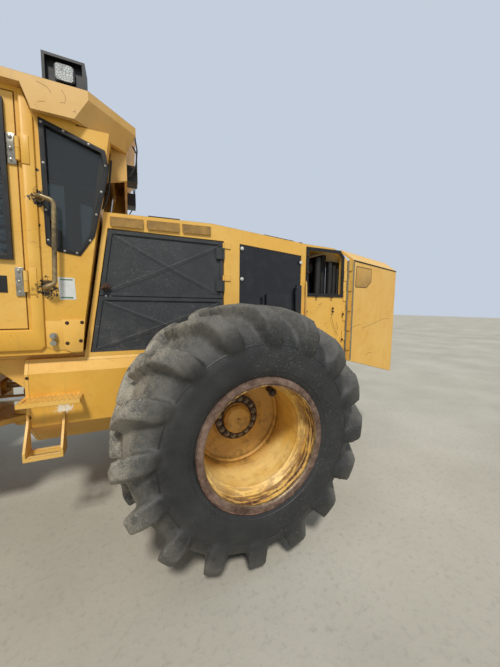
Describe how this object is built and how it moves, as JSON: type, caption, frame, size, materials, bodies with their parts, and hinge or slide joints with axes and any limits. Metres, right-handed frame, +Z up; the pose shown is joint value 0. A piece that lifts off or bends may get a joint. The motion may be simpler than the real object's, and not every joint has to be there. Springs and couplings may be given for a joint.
{
  "type": "wheeled feller buncher",
  "caption": "Articulated wheeled tree feller with a rear engine, guarded cab, lift arms and a disc saw head with grab arms.",
  "frame": {"origin": "centre of the ground box, on the ground", "axes": "+X forward towards the felling head, +Y to the machine left, +Z up"},
  "size_m": [8.0507, 3.02, 3.29],
  "materials": {
    "cab_plastic": "dark textured moulding",
    "cast_grey": "oily grey casting",
    "cooler_grey": "dull cooler core",
    "cover_black": "smooth dark cover, scuffed",
    "lamp_black": "black lamp housing",
    "lamp_lens": "clear lamp lens",
    "rod_chrome": "polished cylinder rod",
    "saw_steel": "worn saw steel",
    "screen_black": "dull black perforated screen",
    "seat_cloth": "dark woven seat cloth",
    "step_black": "black bar",
    "tyre_rubber": "worn tread dusted with pale soil",
    "window_glass": "tinted safety glass",
    "yellow_paint": "worn ochre yellow enamel with chips and rust at the edges"
  },
  "bodies": {
    "rear_body": {"axle_tunnel": "yellow_paint", "cab_cushions": "seat_cloth", "cab_end_walls": "yellow_paint", "cab_floor": "yellow_paint", "cab_roof": "yellow_paint", "cab_seat_frame": "cab_plastic", "cab_side_left": "yellow_paint", "cab_side_right": "yellow_paint", "cab_windows": "window_glass", "cooler": "cooler_grey", "engine_beams": "yellow_paint", "engine_block": "cast_grey", "engine_covers": "cover_black", "frame_deck": "yellow_paint", "frame_floor": "yellow_paint", "frame_nose": "yellow_paint", "frame_tail_wall": "yellow_paint", "grab_handle": "yellow_paint", "hood_roof": "yellow_paint", "lamp_lenses": "lamp_lens", "lower_screens": "screen_black", "panel_window_frames": "step_black", "rear_axle": "yellow_paint", "rear_frame": "yellow_paint", "roof_lamps": "lamp_black", "side_frame_left": "yellow_paint", "side_frame_right": "yellow_paint", "steps": "step_black"},
    "wheel_rear_left": {"tyre_rear_left": "tyre_rubber", "rim_rear_left": "yellow_paint"},
    "wheel_rear_right": {"tyre_rear_right": "tyre_rubber", "rim_rear_right": "yellow_paint"},
    "wheel_front_left": {"tyre_front_left": "tyre_rubber", "rim_front_left": "yellow_paint"},
    "wheel_front_right": {"tyre_front_right": "tyre_rubber", "rim_front_right": "yellow_paint"},
    "front_body": {"front_frame": "yellow_paint", "front_axle": "yellow_paint"},
    "steer_barrel_left": {"steer_barrel_left": "yellow_paint"},
    "steer_rod_left": {"steer_rod_left": "rod_chrome"},
    "steer_barrel_right": {"steer_barrel_right": "yellow_paint"},
    "steer_rod_right": {"steer_rod_right": "rod_chrome"},
    "lift_body": {"lift_arm": "yellow_paint"},
    "lift_barrel_left": {"lift_barrel_left": "yellow_paint"},
    "lift_rod_left": {"lift_rod_left": "rod_chrome"},
    "lift_barrel_right": {"lift_barrel_right": "yellow_paint"},
    "lift_rod_right": {"lift_rod_right": "rod_chrome"},
    "head_body": {"head_tower": "yellow_paint", "saw_shroud": "yellow_paint"},
    "tilt_barrel": {"tilt_barrel": "yellow_paint"},
    "tilt_rod": {"tilt_rod": "rod_chrome"},
    "saw": {"saw_disc": "saw_steel"},
    "clamp": {"clamp_arm": "yellow_paint"},
    "accumulator": {"accumulator_arm": "yellow_paint"},
    "cab_door": {"cab_door": "yellow_paint", "cab_door_window": "window_glass", "door_guard": "step_black"},
    "screen_left": {"upper_screen_left": "screen_black"},
    "screen_right": {"upper_screen_right": "screen_black"},
    "rear_door": {"rear_door": "yellow_paint"}
  },
  "joints": [
    {"name": "wheel_rear_left_spin", "type": "hinge", "parent": "rear_body", "child": "wheel_rear_left", "pos_m": [-1.4866, 1.1225, 0.88], "axis": [0, 1, 0], "continuous": true},
    {"name": "wheel_rear_right_spin", "type": "hinge", "parent": "rear_body", "child": "wheel_rear_right", "pos_m": [-1.4866, -1.1225, 0.88], "axis": [0, 1, 0], "continuous": true},
    {"name": "wheel_front_left_spin", "type": "hinge", "parent": "front_body", "child": "wheel_front_left", "pos_m": [1.6634, 1.1225, 0.88], "axis": [0, 1, 0], "continuous": true},
    {"name": "wheel_front_right_spin", "type": "hinge", "parent": "front_body", "child": "wheel_front_right", "pos_m": [1.6634, -1.1225, 0.88], "axis": [0, 1, 0], "continuous": true},
    {"name": "steering", "type": "hinge", "parent": "rear_body", "child": "front_body", "pos_m": [0.0884, 0, 1.01], "axis": [0, 0, 1], "range_deg": [-40, 40]},
    {"name": "steer_barrel_left_swing", "type": "hinge", "parent": "front_body", "child": "steer_barrel_left", "pos_m": [0.8634, 0.215, 1.01], "axis": [0, 0, 1], "range_deg": [-4.77, 4.77]},
    {"name": "steer_rod_left_slide", "type": "slide", "parent": "steer_barrel_left", "child": "steer_rod_left", "axis": [-0.9996, 0.0284, 0], "range_m": [-0.1592, 0.1592]},
    {"name": "steer_barrel_right_swing", "type": "hinge", "parent": "front_body", "child": "steer_barrel_right", "pos_m": [0.8634, -0.215, 1.01], "axis": [0, 0, 1], "range_deg": [-4.77, 4.77]},
    {"name": "steer_rod_right_slide", "type": "slide", "parent": "steer_barrel_right", "child": "steer_rod_right", "axis": [-0.9996, -0.0284, 0], "range_m": [-0.1592, 0.1592]},
    {"name": "lift", "type": "hinge", "parent": "front_body", "child": "lift_body", "pos_m": [1.3034, 0, 1.83], "axis": [0, -1, 0], "range_deg": [-2, 35]},
    {"name": "lift_barrel_left_swing", "type": "hinge", "parent": "front_body", "child": "lift_barrel_left", "pos_m": [1.4434, 0.24, 1.09], "axis": [0, -1, 0], "range_deg": [-1.66, 20.8]},
    {"name": "lift_rod_left_slide", "type": "slide", "parent": "lift_barrel_left", "child": "lift_rod_left", "axis": [0.8381, 0, 0.5455], "range_m": [-0.02515, 0.39069]},
    {"name": "lift_barrel_right_swing", "type": "hinge", "parent": "front_body", "child": "lift_barrel_right", "pos_m": [1.4434, -0.24, 1.09], "axis": [0, -1, 0], "range_deg": [-1.66, 20.8]},
    {"name": "lift_rod_right_slide", "type": "slide", "parent": "lift_barrel_right", "child": "lift_rod_right", "axis": [0.8381, 0, 0.5455], "range_m": [-0.02515, 0.39069]},
    {"name": "tilt", "type": "hinge", "parent": "lift_body", "child": "head_body", "pos_m": [2.8434, 0, 0.9], "axis": [0, -1, 0], "range_deg": [-15, 25]},
    {"name": "tilt_barrel_swing", "type": "hinge", "parent": "lift_body", "child": "tilt_barrel", "pos_m": [1.7134, 0, 1.93], "axis": [0, -1, 0], "range_deg": [-8.22, 5.13]},
    {"name": "tilt_rod_slide", "type": "slide", "parent": "tilt_barrel", "child": "tilt_rod", "axis": [0.9664, 0, -0.2571], "range_m": [-0.28532, 0.17239]},
    {"name": "saw_spin", "type": "hinge", "parent": "head_body", "child": "saw", "pos_m": [3.3134, 0, 0.222], "axis": [0, 0, 1], "continuous": true},
    {"name": "clamp_arm_swing", "type": "hinge", "parent": "head_body", "child": "clamp", "pos_m": [3.3134, 0.4, 1.1], "axis": [0, 0, 1], "range_deg": [0, 75]},
    {"name": "accumulator_arm_swing", "type": "hinge", "parent": "head_body", "child": "accumulator", "pos_m": [3.3134, -0.4, 1.46], "axis": [0, 0, -1], "range_deg": [0, 75]},
    {"name": "cab_door_swing", "type": "hinge", "parent": "rear_body", "child": "cab_door", "pos_m": [-0.1416, 0.735, 2.3], "axis": [0, 0, 1], "range_deg": [0, 90]},
    {"name": "screen_left_swing", "type": "hinge", "parent": "rear_body", "child": "screen_left", "pos_m": [-1.4846, 0.67, 2.06], "axis": [0, 0, 1], "range_deg": [0, 95]},
    {"name": "screen_right_swing", "type": "hinge", "parent": "rear_body", "child": "screen_right", "pos_m": [-1.4846, -0.67, 2.06], "axis": [0, 0, -1], "range_deg": [0, 95]},
    {"name": "rear_door_swing", "type": "hinge", "parent": "rear_body", "child": "rear_door", "pos_m": [-2.8656, 0.669, 1.7], "axis": [0, 0, 1], "range_deg": [-25, 71]}
  ],
  "couplings": [
    {"joint": "steer_barrel_left_swing", "follows": "steering", "ratio": -0.10684},
    {"joint": "steer_rod_left_slide", "follows": "steering", "m_per_rad": -0.22374},
    {"joint": "steer_barrel_right_swing", "follows": "steering", "ratio": -0.10684},
    {"joint": "steer_rod_right_slide", "follows": "steering", "m_per_rad": 0.22374},
    {"joint": "lift_barrel_left_swing", "follows": "lift", "ratio": 0.58001},
    {"joint": "lift_rod_left_slide", "follows": "lift", "m_per_rad": 0.63466},
    {"joint": "lift_barrel_right_swing", "follows": "lift", "ratio": 0.58001},
    {"joint": "lift_rod_right_slide", "follows": "lift", "m_per_rad": 0.63466},
    {"joint": "tilt_barrel_swing", "follows": "tilt", "ratio": -0.30885},
    {"joint": "tilt_rod_slide", "follows": "tilt", "m_per_rad": -0.64702}
  ]
}
